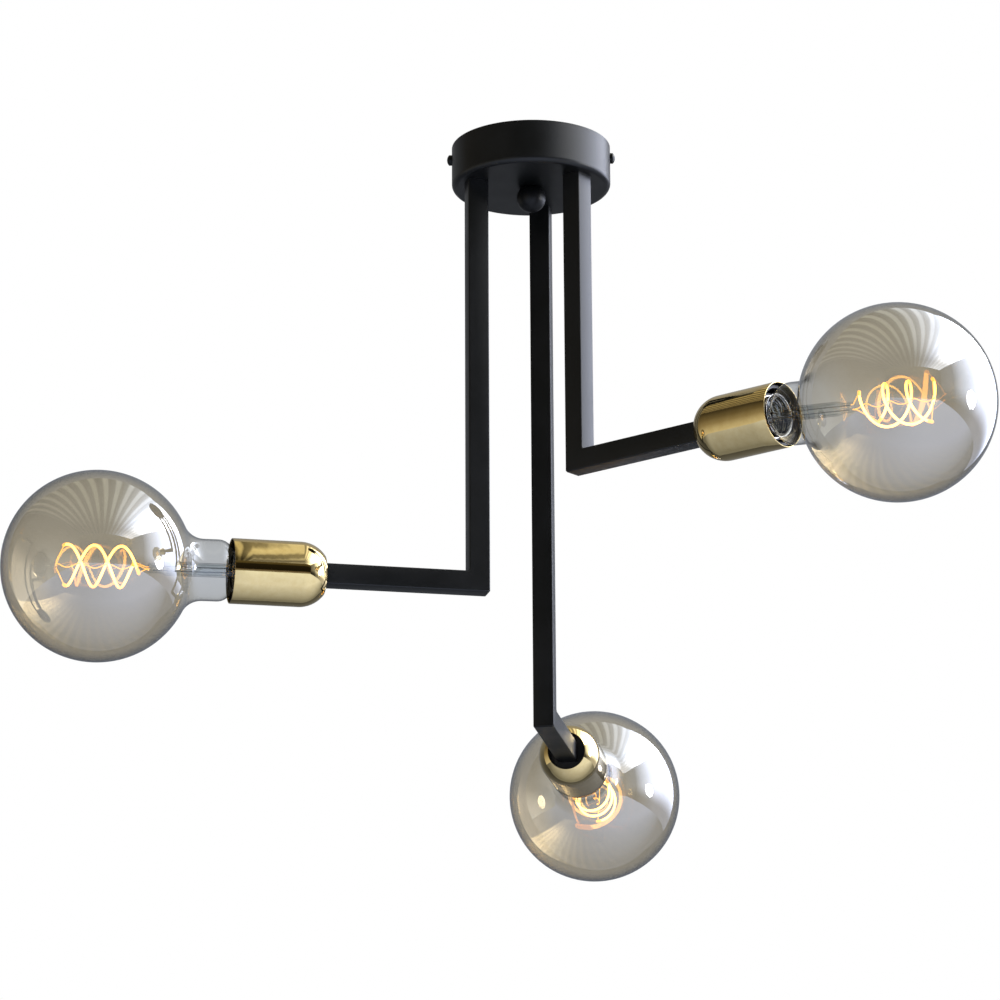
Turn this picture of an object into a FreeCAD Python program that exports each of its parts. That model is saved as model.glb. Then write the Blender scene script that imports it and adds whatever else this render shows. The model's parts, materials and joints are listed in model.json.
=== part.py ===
import FreeCAD, Part
import math
import os

# Semi flush ceiling light: a round canopy, three mitred square-tube arms of different drops,
# a brass cup with a lampholder on each arm and a large globe bulb in each lampholder.
# Millimetres. The origin is on the canopy's axis in the ceiling plane, +Z up.

Vector = FreeCAD.Vector
Placement = FreeCAD.Placement
Rotation = FreeCAD.Rotation

# ---- driving dimensions: canopy and its fixing ----
canopy_radius = 54.5
canopy_height = 29.5
canopy_wall = 1.2
canopy_edge_radius = 3.5
bracket_thickness = 2.0
bracket_width = 24.0
ear_width = 12.0
ear_height = 14.0
ear_gap = 1.6                # between an ear and the canopy's inner wall
slot_spacing = 40.0
slot_length = 12.0
slot_width = 5.0
side_screw_drop = 7.5        # below the ceiling plane
side_screw_diameter = 4.0
side_screw_shank = 8.0
side_screw_head_diameter = 7.3
side_screw_head_height = 3.3
side_screw_slot = 1.0
rod_diameter = 6.0
rod_nut_land = 4.0
rod_nut_height = 4.0
ball_diameter = 20.0
ball_centre_drop = 6.5       # centre of the ball below the canopy's underside
rod_reach_in_ball = 8.0

# ---- driving dimensions: stems and arms ----
tube_width = 14.0
tube_wall = 1.2
seat_radius = 40.0           # stems sit this far from the canopy's axis
back_seat_azimuth = 81.4     # degrees from +X; the others follow at a third of a turn
plug_length = 12.0
nipple_diameter = 10.0
nipple_wall = 1.0
nipple_depth_in_plug = 9.0
canopy_washer_land = 3.0     # washer's rim beyond the nipple
canopy_washer_thickness = 0.8
canopy_nut_land = 4.0        # nut's flats beyond the thread, both sides together
canopy_nut_height = 3.0
nipple_stand = 1.5           # nipple end above its nut
# name, drop of the arm's underside, seat turn from the back seat, arm turn from its seat, glass droop
arms = [
    {"name": "left", "drop": 320.0, "seat_turn": 120.0, "arm_turn": -7.6, "glass_lean": 0.87},
    {"name": "right", "drop": 240.0, "seat_turn": -120.0, "arm_turn": 0.4, "glass_lean": 6.2},
    {"name": "back", "drop": 400.0, "seat_turn": 0.0, "arm_turn": 0.9, "glass_lean": 1.8},
]

# ---- driving dimensions: cup and lampholder, distances along the arm from the stem's axis ----
cup_back = 103.5
cup_length = 61.5
cup_radius = 21.5
cup_wall = 0.7
cup_dome_radius = 20.4
cup_hole_radius = 13.2
cup_lip = 0.5                # roll of the edge round the hole
holder_setback = 3.0         # holder's front inside the cup's rim
holder_wall = 2.6
holder_recess = 6.0          # holder's back inside the cup's hole
holder_back_thickness = 4.0
chamber_step = 1.65          # seat of the ceramic base, round the wiring chamber
base_thickness = 5.5
shell_gap = 0.4              # between the cap and the screw shell
shell_wall = 0.6
shell_setback = 5.3          # screw shell's end inside the cap's edge
contact_rise = 3.8           # tongue of the centre contact above the base
liner_wall = 1.2
contact_width = 6.0
contact_thickness = 0.5
terminal_head_radius = 2.7
terminal_head_gap = 1.8      # between a terminal screw's head and the chamber's wall
cable_diameter = 4.6
core_diameter = 1.8
core_spacing = 2.4
bared_core_length = 10.0
elbow_cable_radius = 14.0
canopy_cable_radius = 9.0
cable_level = 13.0           # cable runs in the canopy, below the ceiling plane

# ---- driving dimensions: bulb, measured from the globe's centre ----
globe_radius = 62.5
glass_wall = 0.8
neck_radius = 20.3
neck_blend_radius = 15.0
neck_straight = 9.6
neck_shoulder_radius = 10.0
neck_shoulder_length = 11.6  # from the shoulder's start to the cap's edge
cap_setback = 2.7            # cap's edge inside the cup's rim
cap_length = 22.0
cap_radius = 13.1
cap_wall = 0.4
cap_flange = 1.1             # flare of the cap's edge
cap_flange_length = 1.2
cap_taper_length = 1.6
insulator_length = 3.2
insulator_end_radius = 5.6
tip_radius = 4.8
tip_height = 1.7
contact_gap = 0.15           # clearance of the tip from its contact
neck_tail_gap = 0.8          # cement between the glass and the cap
neck_tail_length = 5.0
mount_tube_radius = 4.6
mount_tube_wall = 1.0
mount_flare_gap = 0.7        # between the mount's flare and the neck's tail
mount_end = 33.0             # pinched end of the inner mount
mount_pinch_radius = 3.2
mount_pinch_length = 12.0
strand_diameter = 1.8
filament_diameter = 27.0     # between strand centres
filament_length = 47.0
filament_pitch = 35.0
lead_diameter = 0.6
lead_joint = 0.35             # from a strand's end to its wire
lead_wave_radius = 1.4
lead_wave_pitch = 18.0

# ---- terminal block ----
block_length = 18.0
block_width = 16.0
block_height = 12.0
block_offset = 5.3           # block's middle beyond the right cable
block_poles = 3
block_screw_diameter = 3.0
earth_x = -34.0
earth_radius = 2.0

# ---- clearances ----
running_clearance = 0.05
thread_clearance = 0.05
seat_clearance = 0.05
loose_clearance = 0.25
holder_clearance = 0.3       # between holder and cup

# ---- worked out ----
canopy_inner_radius = canopy_radius - canopy_wall
canopy_floor = -canopy_height + canopy_wall
ear_outer = canopy_inner_radius - ear_gap
tube_inner = tube_width - 2 * tube_wall
cup_rim = cup_back + cup_length
dome_centre_radius = cup_radius - cup_dome_radius
dome_length = math.sqrt(cup_dome_radius ** 2 - (cup_hole_radius - dome_centre_radius) ** 2)
dome_start = cup_back + dome_length
holder_radius = cup_radius - cup_wall - holder_clearance
holder_front = cup_rim - holder_setback
shell_inner_radius = cap_radius + shell_gap
shoulder_radius = cup_dome_radius - cup_wall - holder_clearance
holder_back = cup_back + holder_recess
back_radius = dome_centre_radius + math.sqrt(shoulder_radius ** 2 - (dome_start - holder_back) ** 2)
chamber_start = holder_back + holder_back_thickness
shell_outer_radius = shell_inner_radius + shell_wall
shell_bore_radius = shell_outer_radius + thread_clearance
chamber_radius = shell_bore_radius - chamber_step
terminal_screw_x = chamber_radius - terminal_head_gap - terminal_head_radius
neck_blend_centre = math.sqrt((globe_radius + neck_blend_radius) ** 2
                              - (neck_radius + neck_blend_radius) ** 2)
neck_shoulder_start = neck_blend_centre + neck_straight
cap_edge = neck_shoulder_start + neck_shoulder_length
cap_top = cup_rim - cap_setback
globe_reach = cap_top + cap_edge
cap_bottom = cap_top - cap_length
insulator_bottom = cap_bottom - insulator_length
insulator_top_radius = cap_radius - cap_taper_length
tip_bottom = insulator_bottom - tip_height
base_face = tip_bottom - contact_gap - contact_rise
base_start = base_face - base_thickness
shell_end = cap_top - shell_setback
neck_tail_radius = cap_radius - cap_wall - neck_tail_gap
mount_flare_radius = neck_tail_radius - glass_wall - mount_flare_gap
filament_near = globe_reach - filament_length / 2
filament_far = globe_reach + filament_length / 2
nipple_radius = nipple_diameter / 2
nipple_bore_radius = nipple_radius - nipple_wall
washer_top = canopy_floor + canopy_washer_thickness
nut_top = washer_top + canopy_nut_height
nipple_top = nut_top + nipple_stand


def save(name, shapes):
    """Write one sub-part, a single solid or a group of them."""
    group = shapes if isinstance(shapes, list) else [shapes]
    shape = group[0] if len(group) == 1 else Part.makeCompound(group)
    shape.exportStep(os.path.join("parts", name + ".step"))


def cylinder(radius, length, base=(0, 0, 0), axis=(0, 0, 1)):
    return Part.makeCylinder(radius, length, Vector(*base), Vector(*axis))


def block(size, corner):
    return Part.makeBox(size[0], size[1], size[2], Vector(*corner))


def centred_block(size, centre):
    corner = [c - s / 2 for c, s in zip(centre, size)]
    return block(size, corner)


def hexagon(flats, height, hole_radius, z):
    """A nut whose underside is at z."""
    corner_radius = flats / math.sqrt(3)
    points = [Vector(corner_radius * math.cos(math.radians(60 * i)),
                     corner_radius * math.sin(math.radians(60 * i)), z) for i in range(6)]
    outline = Part.makePolygon(points + points[:1])
    body = Part.Face(outline).extrude(Vector(0, 0, height))
    # the corners are turned off on both faces
    bevel = 0.12 * height
    turned = Part.makeCone(corner_radius - bevel * 2, corner_radius, bevel, Vector(0, 0, z))
    turned = turned.fuse(cylinder(corner_radius, height - 2 * bevel, (0, 0, z + bevel)))
    turned = turned.fuse(Part.makeCone(corner_radius, corner_radius - bevel * 2, bevel,
                                       Vector(0, 0, z + height - bevel)))
    body = body.common(turned)
    return body.cut(cylinder(hole_radius, height, (0, 0, z))).removeSplitter()


def arc_through(start, middle, end):
    return Part.Arc(start, middle, end).toShape()


def line(start, end):
    return Part.LineSegment(start, end).toShape()


def profile(*parts):
    """Edges in the XZ plane from points (radius, height); a part of three points is an arc."""
    edges = []
    for part in parts:
        points = [Vector(p[0], 0, p[1]) for p in part]
        if len(points) == 3:
            edges.append(arc_through(*points))
        else:
            edges.append(line(*points))
    return edges


def turned(edges):
    """Solid of revolution about Z of a closed outline."""
    face = Part.Face(Part.Wire(edges))
    return face.revolve(Vector(0, 0, 0), Vector(0, 0, 1), 360)


def turned_polygon(points):
    """Solid of revolution of straight edges through (radius, height) points."""
    closed = points + points[:1]
    return turned(profile(*[closed[i:i + 2] for i in range(len(points))]))


def on_circle(centre, radius, degrees):
    angle = math.radians(degrees)
    return (centre[0] + radius * math.cos(angle), centre[1] + radius * math.sin(angle))


def direction(azimuth):
    return Vector(math.cos(math.radians(azimuth)), math.sin(math.radians(azimuth)), 0)


# ---- places ----

def seat_point(arm, z=0.0):
    place = direction(back_seat_azimuth + arm["seat_turn"]) * seat_radius
    return Vector(place.x, place.y, z)


def arm_azimuth(arm):
    return back_seat_azimuth + arm["seat_turn"] + arm["arm_turn"]


def stem_frame(arm):
    """Local X runs outwards along the arm, local Z is up, origin at the ceiling over the stem."""
    return Placement(seat_point(arm), Rotation(Vector(0, 0, 1), arm_azimuth(arm)))


def socket_frame(arm):
    """Local Z runs outwards along the arm's axis from the stem's axis, local X points down."""
    to_axis = Placement(Vector(0, 0, -arm["drop"] + tube_width / 2), Rotation(Vector(0, 1, 0), 90))
    return stem_frame(arm).multiply(to_axis)


def glass_frame(arm):
    """The socket frame, tipped down about the centre of the cap's edge."""
    pivot = Vector(0, 0, cap_top)
    lean = Rotation(Vector(0, 1, 0), arm["glass_lean"])
    return socket_frame(arm).multiply(Placement(pivot, lean).multiply(Placement(-pivot, Rotation())))


def placed(shape, frame):
    moved = shape.copy()
    moved.Placement = frame.multiply(moved.Placement)
    return moved


def each_arm(shape, frame):
    return [placed(shape, frame(arm)) for arm in arms]


# ---- ceiling fixing ----

def make_bracket():
    top = centred_block((2 * ear_outer, bracket_width, bracket_thickness), (0, 0, -bracket_thickness / 2))
    strap = top
    for side in (-1, 1):
        # the strap narrows to the ear's width where it is folded
        for edge in (-1, 1):
            waste_width = (bracket_width - ear_width) / 2
            waste_x = side * (ear_outer - 3 * bracket_thickness / 2)
            waste_y = edge * (ear_width + waste_width) / 2
            strap = strap.cut(centred_block((3 * bracket_thickness, waste_width, 2 * bracket_thickness),
                                            (waste_x, waste_y, -bracket_thickness / 2)))
        ear = centred_block((bracket_thickness, ear_width, ear_height),
                            (side * (ear_outer - bracket_thickness / 2), 0, -ear_height / 2))
        strap = strap.fuse(ear)
    strap = strap.removeSplitter()
    # the two outer corners of the folds
    fold = [edge for edge in strap.Edges
            if abs(abs(edge.CenterOfMass.x) - ear_outer) < 1e-6
            and abs(edge.CenterOfMass.z) < 1e-6 and abs(edge.CenterOfMass.y) < 1e-6]
    strap = strap.makeFillet(bracket_thickness * 0.9, fold)
    for side in (-1, 1):
        straight = slot_length - slot_width
        centre_x = side * slot_spacing / 2
        slot = centred_block((straight, slot_width, 3 * bracket_thickness), (centre_x, 0, 0))
        for end in (-1, 1):
            slot = slot.fuse(cylinder(slot_width / 2, 3 * bracket_thickness,
                                      (centre_x + end * straight / 2, 0, -1.5 * bracket_thickness)))
        strap = strap.cut(slot)
        ear_hole = (side * ear_outer - 2 * bracket_thickness, 0, -side_screw_drop)
        strap = strap.cut(cylinder(side_screw_diameter / 2 + thread_clearance, 4 * bracket_thickness,
                                   ear_hole, (1, 0, 0)))
    strap = strap.cut(cylinder(rod_diameter / 2 + thread_clearance, 3 * bracket_thickness,
                               (0, 0, -2 * bracket_thickness)))
    strap = strap.cut(cylinder(earth_radius + thread_clearance, 3 * bracket_thickness,
                               (earth_x, 0, -2 * bracket_thickness)))
    return strap.removeSplitter()


def make_canopy():
    r = canopy_radius
    ri = canopy_inner_radius
    edge = canopy_edge_radius
    inner_edge = max(edge - canopy_wall, 0.3)
    low = -canopy_height
    floor = canopy_floor
    corner = (r - edge, low + edge)
    inner_corner = (ri - inner_edge, floor + inner_edge)
    shell = turned(profile(
        [(0, low), (corner[0], low)],
        [(corner[0], low), on_circle(corner, edge, -45), (r, corner[1])],
        [(r, corner[1]), (r, 0)],
        [(r, 0), (ri, 0)],
        [(ri, 0), (ri, inner_corner[1])],
        [(ri, inner_corner[1]), on_circle(inner_corner, inner_edge, -45), (inner_corner[0], floor)],
        [(inner_corner[0], floor), (0, floor)],
        [(0, floor), (0, low)]))
    rod_hole = cylinder(rod_diameter / 2 + loose_clearance, 3 * canopy_wall, (0, 0, low - canopy_wall))
    shell = shell.cut(rod_hole)
    for arm in arms:
        seat = seat_point(arm, low - canopy_wall)
        shell = shell.cut(cylinder(nipple_radius + loose_clearance, 3 * canopy_wall, tuple(seat)))
    for side in (-1, 1):
        shell = shell.cut(cylinder(side_screw_diameter / 2 + loose_clearance, 6 * canopy_wall,
                                   (side * r - 3 * canopy_wall, 0, -side_screw_drop), (1, 0, 0)))
    return shell


def make_side_screw():
    """Domed screw along +Z from its point; the head's seat is at z = 0."""
    head_radius = side_screw_head_diameter / 2
    crown = side_screw_head_height * 0.45
    top = side_screw_head_height
    shank_radius = side_screw_diameter / 2
    # sphere that takes the crown from the head's side to its middle
    sphere = (head_radius ** 2 + crown ** 2) / (2 * crown)
    mid = on_circle((0, top - sphere), sphere, 90 - math.degrees(math.asin(head_radius / sphere)) / 2)
    screw = turned(profile(
        [(0, -side_screw_shank), (shank_radius - 0.6, -side_screw_shank)],
        [(shank_radius - 0.6, -side_screw_shank), (shank_radius, -side_screw_shank + 0.6)],
        [(shank_radius, -side_screw_shank + 0.6), (shank_radius, 0)],
        [(shank_radius, 0), (head_radius, 0)],
        [(head_radius, 0), (head_radius, top - crown)],
        [(head_radius, top - crown), mid, (0, top)],
        [(0, top), (0, -side_screw_shank)]))
    return screw.cut(centred_block((3 * head_radius, side_screw_slot, 2 * crown), (0, 0, top)))


def make_rod():
    length = canopy_height + rod_reach_in_ball
    rod = cylinder(rod_diameter / 2, length, (0, 0, -length))
    foot = [edge for edge in rod.Edges if abs(edge.CenterOfMass.z + length) < 1e-6]
    return rod.makeChamfer(0.6, foot)


def make_ball():
    centre_z = -canopy_height - ball_centre_drop
    ball = Part.makeSphere(ball_diameter / 2, Vector(0, 0, centre_z))
    seat_z = -canopy_height - seat_clearance
    ball = ball.cut(block((ball_diameter, ball_diameter, ball_diameter),
                          (-ball_diameter / 2, -ball_diameter / 2, seat_z)))
    depth = rod_reach_in_ball + 1.5
    bore = cylinder(rod_diameter / 2 + running_clearance, depth, (0, 0, seat_z - depth + 0.01))
    return ball.cut(bore)


# ---- stems and arms ----

def square_tube(length, start):
    """Square tube along Z with its inner bore cut right through."""
    outer = centred_block((tube_width, tube_width, length), (0, 0, start + length / 2))
    inner = centred_block((tube_inner, tube_inner, length * 2), (0, 0, start + length / 2))
    return outer, inner


def mitre_cutter(arm, keep_stem):
    """Big wedge beyond the 45 degree plane through the elbow, in the stem's frame."""
    elbow = Vector(0, 0, -arm["drop"] + tube_width / 2)
    size = 4 * tube_width
    wedge = block((size, size, size), (-size / 2, -size / 2, 0 if not keep_stem else -size))
    wedge.Placement = Placement(elbow, Rotation(Vector(0, 1, 0), -45))
    return wedge


def make_stem(arm):
    length = arm["drop"] - canopy_height
    outer, inner = square_tube(length, -arm["drop"])
    tube = outer.cut(inner)
    return placed(tube.cut(mitre_cutter(arm, True)), stem_frame(arm))


def make_arm(arm):
    """Tube from the stem's outer face to the lampholder, mitred at the elbow."""
    length = tube_width / 2 + holder_back
    outer, inner = square_tube(length, -tube_width / 2)
    tube = placed(outer.cut(inner), Placement(Vector(0, 0, -arm["drop"] + tube_width / 2),
                                              Rotation(Vector(0, 1, 0), 90)))
    return placed(tube.cut(mitre_cutter(arm, False)), stem_frame(arm))


def make_plug():
    """Square threaded plug; its open face is at z = 0 and its body below."""
    plug = centred_block((tube_inner, tube_inner, plug_length), (0, 0, -plug_length / 2))
    threaded = cylinder(nipple_radius + thread_clearance, nipple_depth_in_plug,
                        (0, 0, -nipple_depth_in_plug))
    return plug.cut(threaded).cut(cylinder(nipple_bore_radius, plug_length * 1.5, (0, 0, -plug_length)))


def make_nipple(bottom, top):
    nipple = cylinder(nipple_radius, top - bottom, (0, 0, bottom))
    return nipple.cut(cylinder(nipple_bore_radius, top - bottom, (0, 0, bottom)))


def washer(radius, hole_radius, thickness, z):
    return cylinder(radius, thickness, (0, 0, z)).cut(cylinder(hole_radius, thickness, (0, 0, z)))


# ---- cup and lampholder, built along local Z ----

def dome_point(radius, at_radius):
    """Height of the dome's surface of this radius where it is at_radius from the axis."""
    return dome_start - math.sqrt(radius ** 2 - (at_radius - dome_centre_radius) ** 2)


def make_cup():
    outer = cup_dome_radius
    inner = cup_dome_radius - cup_wall
    inner_back = dome_point(inner, cup_hole_radius)
    centre = (dome_centre_radius, dome_start)
    outer_angle = math.degrees(math.acos((cup_hole_radius - dome_centre_radius) / outer))
    inner_angle = math.degrees(math.acos((cup_hole_radius - dome_centre_radius) / inner))
    rim_middle = cup_radius - cup_wall / 2
    rim_round = (rim_middle, cup_rim + cup_wall / 2)
    return turned(profile(
        [(cup_hole_radius, cup_back), on_circle(centre, outer, -outer_angle / 2), (cup_radius, dome_start)],
        [(cup_radius, dome_start), (cup_radius, cup_rim)],
        [(cup_radius, cup_rim), rim_round, (cup_radius - cup_wall, cup_rim)],
        [(cup_radius - cup_wall, cup_rim), (cup_radius - cup_wall, dome_start)],
        [(cup_radius - cup_wall, dome_start), on_circle(centre, inner, -inner_angle / 2),
         (cup_hole_radius, inner_back)],
        [(cup_hole_radius, inner_back), (cup_hole_radius - cup_lip, (inner_back + cup_back) / 2),
         (cup_hole_radius, cup_back)]))


def make_holder():
    """Moulded housing: a flat back behind the cup's hole, a shoulder in its dome, a skirt to the front."""
    r = holder_radius
    back_angle = math.degrees(math.acos((back_radius - dome_centre_radius) / shoulder_radius))
    shoulder_middle = on_circle((dome_centre_radius, dome_start), shoulder_radius, -back_angle / 2)
    hole = nipple_radius + thread_clearance
    skirt = r - holder_wall
    liner = shell_bore_radius + liner_wall
    edge = 0.8
    return turned(profile(
        [(hole, holder_back), (back_radius, holder_back)],
        [(back_radius, holder_back), shoulder_middle, (r, dome_start)],
        [(r, dome_start), (r, holder_front - edge)],
        [(r, holder_front - edge), on_circle((r - edge, holder_front - edge), edge, 45),
         (r - edge, holder_front)],
        [(r - edge, holder_front), (skirt, holder_front)],
        [(skirt, holder_front), (skirt, base_face + 2)],
        [(skirt, base_face + 2), (liner, base_face + 2)],
        [(liner, base_face + 2), (liner, shell_end)],
        [(liner, shell_end), (shell_bore_radius, shell_end)],
        [(shell_bore_radius, shell_end), (shell_bore_radius, base_start)],
        [(shell_bore_radius, base_start), (chamber_radius, base_start)],
        [(chamber_radius, base_start), (chamber_radius, chamber_start)],
        [(chamber_radius, chamber_start), (hole, chamber_start)],
        [(hole, chamber_start), (hole, holder_back)]))


def make_screw_shell():
    """Metal shell with an inward foot that rests on the ceramic base."""
    foot = 1.6
    return turned_polygon([
        (shell_inner_radius - foot, base_face), (shell_outer_radius, base_face),
        (shell_outer_radius, shell_end), (shell_inner_radius, shell_end),
        (shell_inner_radius, base_face + shell_wall), (shell_inner_radius - foot, base_face + shell_wall)])


def make_contact_base():
    base = cylinder(shell_outer_radius, base_thickness, (0, 0, base_start))
    for side in (-1, 1):
        hole_at = (side * terminal_screw_x, 0, base_start)
        base = base.cut(cylinder(block_screw_diameter / 2 + thread_clearance, base_thickness, hole_at))
    return base


def make_centre_contact():
    """Bent spring strip: a foot on the base, a rising limb and a tongue under the bulb's tip."""
    reach = shell_inner_radius - 5.0
    foot = block((4.0, contact_width, contact_thickness), (-reach, -contact_width / 2, base_face))
    limb = block((contact_thickness, contact_width, contact_rise),
                 (-reach + 3.5, -contact_width / 2, base_face))
    tongue = block((reach + tip_radius * 0.6 - 3.5, contact_width, contact_thickness),
                   (-reach + 3.5, -contact_width / 2, base_face + contact_rise - contact_thickness))
    return foot.fuse(limb).fuse(tongue).removeSplitter()


def make_pan_screw(radius, shank, head_radius, head_height, slot):
    """Cheese-head screw: head below z = 0, shank above."""
    screw = cylinder(head_radius, head_height, (0, 0, -head_height)).fuse(cylinder(radius, shank))
    groove = centred_block((3 * head_radius, slot, head_height), (0, 0, -head_height))
    return screw.cut(groove).removeSplitter()


def make_holder_screws():
    radius = block_screw_diameter / 2
    screw = make_pan_screw(radius, base_thickness - 0.5, terminal_head_radius, 1.6, 0.7)
    pair = []
    for side in (-1, 1):
        hole_at = Vector(side * terminal_screw_x, 0, base_start)
        pair.append(placed(screw, Placement(hole_at, Rotation())))
    return pair


# ---- cables ----

def rounded_path(points, radii):
    """Straight runs joined by tangent arcs; one radius for each inner point."""
    edges = []
    start = points[0]
    for i in range(1, len(points) - 1):
        into = (points[i] - points[i - 1]).normalize()
        away = (points[i + 1] - points[i]).normalize()
        turn = into.getAngle(away)
        setback = radii[i - 1] * math.tan(turn / 2)
        arc_start = points[i] - into * setback
        arc_end = points[i] + away * setback
        to_centre = (away - into).normalize()
        middle = points[i] + to_centre * (radii[i - 1] / math.cos(turn / 2) - radii[i - 1])
        edges.append(line(start, arc_start))
        edges.append(arc_through(arc_start, middle, arc_end))
        start = arc_end
    edges.append(line(start, points[-1]))
    return Part.Wire(edges)


def tube_along(path, diameter):
    first = path.Edges[0]
    start = path.OrderedVertexes[0].Point
    tangent = first.tangentAt(first.FirstParameter)
    section = Part.Wire(Part.makeCircle(diameter / 2, start, tangent))
    return path.makePipeShell([section], True, False)


# the block lines up with the cable that runs straight into it
def block_centre_x():
    right = [arm for arm in arms if arm["name"] == "right"][0]
    return seat_point(right).x + block_offset


# routes inside the canopy from over each nipple to the terminal block, chosen by hand
def canopy_route(arm):
    name = arm["name"]
    face = block_width / 2
    left_x = block_centre_x() - block_length / block_poles
    back_x = block_centre_x() + block_length / block_poles * 0.75
    routes = {
        "left": [(-12.0, 19.0), (left_x, 19.0), (left_x, face)],
        "right": [(seat_point(arm).x, -face)],
        "back": [(back_x, 25.0), (back_x, face)],
    }
    return routes[name]


def cable_route(arm):
    axis_z = -arm["drop"] + tube_width / 2
    outward = direction(arm_azimuth(arm))
    seat = seat_point(arm)
    sheath_end = base_start - bared_core_length
    level = -cable_level
    points = [seat + outward * sheath_end + Vector(0, 0, axis_z),
              seat + Vector(0, 0, axis_z),
              seat + Vector(0, 0, level)]
    points += [Vector(x, y, level) for x, y in canopy_route(arm)]
    return points


def make_cable(arm):
    points = cable_route(arm)
    radii = [elbow_cable_radius] + [canopy_cable_radius] * (len(points) - 3)
    path = rounded_path(points, radii)
    print(arm["name"], "cable length", round(path.Length, 1), "radii", radii)
    pieces = [tube_along(path, cable_diameter)]
    for side in (-1, 1):
        core = cylinder(core_diameter / 2, bared_core_length,
                        (0, side * core_spacing / 2, base_start - bared_core_length))
        pieces.append(placed(core, socket_frame(arm)))
    return pieces


# ---- wiring in the canopy ----

def block_screw_places():
    pitch = block_length / block_poles
    places = []
    for pole in range(block_poles):
        x = block_centre_x() + (pole - (block_poles - 1) / 2) * pitch
        for side in (-1, 1):
            places.append((x, side * block_width / 4))
    return places


def make_terminal_block():
    low = -bracket_thickness - block_height
    middle = (block_centre_x(), 0, low + block_height / 2)
    body = centred_block((block_length, block_width, block_height), middle)
    pitch = block_length / block_poles
    for pole in range(1, block_poles):
        x = block_centre_x() + (pole - block_poles / 2) * pitch
        body = body.cut(centred_block((1.0, block_width, 3.0), (x, 0, low + 1.0)))
    for x, y in block_screw_places():
        body = body.cut(cylinder(block_screw_diameter / 2 + loose_clearance, 5.0, (x, y, low)))
    return body


def make_terminal_screws():
    low = -bracket_thickness - block_height
    radius = block_screw_diameter / 2
    screw = cylinder(radius, 4.5, (0, 0, 0.5)).cut(centred_block((4 * radius, 0.6, 1.2), (0, 0, 0.5)))
    return [placed(screw, Placement(Vector(x, y, low), Rotation())) for x, y in block_screw_places()]


# ---- bulb, built along local Z ----

def glass_outline(wall):
    """Outline of the glass, wall millimetres inside its outer face, from pole to tail."""
    def at(radius, s):
        return (radius, globe_reach - s)

    # a concave arc, tangent to both, joins the globe to the neck
    centre = (neck_radius + neck_blend_radius, neck_blend_centre)
    globe = globe_radius - wall
    blend = neck_blend_radius + wall
    neck = neck_radius - wall
    share = globe / (globe + blend)
    start = (centre[0] * share, centre[1] * share)
    start_angle = math.degrees(math.atan2(start[1], start[0]))
    globe_mid = on_circle((0, 0), globe, (start_angle - 90) / 2)
    sweep = math.degrees(math.atan2(centre[1] - start[1], centre[0] - start[0]))
    blend_mid = (centre[0] - blend * math.cos(math.radians(sweep / 2)),
                 centre[1] - blend * math.sin(math.radians(sweep / 2)))
    shoulder = neck_shoulder_radius - wall
    shoulder_centre = (neck - shoulder, neck_shoulder_start)
    tail = neck_tail_radius - wall
    tail_angle = math.degrees(math.acos((tail - shoulder_centre[0]) / shoulder))
    tail_start = on_circle(shoulder_centre, shoulder, tail_angle)
    return profile(
        [at(0, -globe), at(*globe_mid), at(*start)],
        [at(*start), at(*blend_mid), at(neck, neck_blend_centre)],
        [at(neck, neck_blend_centre), at(neck, neck_shoulder_start)],
        [at(neck, neck_shoulder_start), at(*on_circle(shoulder_centre, shoulder, tail_angle / 2)),
         at(*tail_start)],
        [at(*tail_start), at(tail, cap_edge + neck_tail_length)])


def make_glass():
    outer = glass_outline(0.0)
    inner = glass_outline(glass_wall)
    tail_s = globe_reach - cap_edge - neck_tail_length
    closing = profile([(neck_tail_radius, tail_s), (neck_tail_radius - glass_wall, tail_s)],
                      [(0, globe_reach + globe_radius - glass_wall), (0, globe_reach + globe_radius)])
    wire = Part.Wire(Part.__sortEdges__(outer + inner + closing))
    return Part.Face(wire).revolve(Vector(0, 0, 0), Vector(0, 0, 1), 360)


def make_cap():
    inner = cap_radius - cap_wall
    low_inner = insulator_top_radius - cap_wall
    taper_top = cap_bottom + cap_taper_length
    return turned_polygon([
        (insulator_top_radius, cap_bottom), (cap_radius, taper_top),
        (cap_radius, cap_top - cap_flange_length),
        (cap_radius + cap_flange, cap_top), (inner + cap_flange, cap_top),
        (inner, cap_top - cap_flange_length), (inner, taper_top + cap_wall), (low_inner, cap_bottom)])


def make_insulator():
    return turned_polygon([
        (0, cap_bottom), (insulator_top_radius - cap_wall, cap_bottom),
        (insulator_top_radius - cap_wall, cap_bottom - 0.2), (insulator_end_radius, insulator_bottom),
        (0, insulator_bottom)])


def make_tip():
    """Round contact with a domed face."""
    dome = tip_height * 0.55
    side = insulator_bottom - (tip_height - dome)
    sphere = (tip_radius ** 2 + dome ** 2) / (2 * dome)
    half = math.degrees(math.asin(tip_radius / sphere)) / 2
    middle = on_circle((0, tip_bottom + sphere), sphere, -90 + half)
    return turned(profile(
        [(0, insulator_bottom - seat_clearance), (tip_radius, insulator_bottom - seat_clearance)],
        [(tip_radius, insulator_bottom - seat_clearance), (tip_radius, side)],
        [(tip_radius, side), middle, (0, tip_bottom)],
        [(0, tip_bottom), (0, insulator_bottom - seat_clearance)]))


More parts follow.
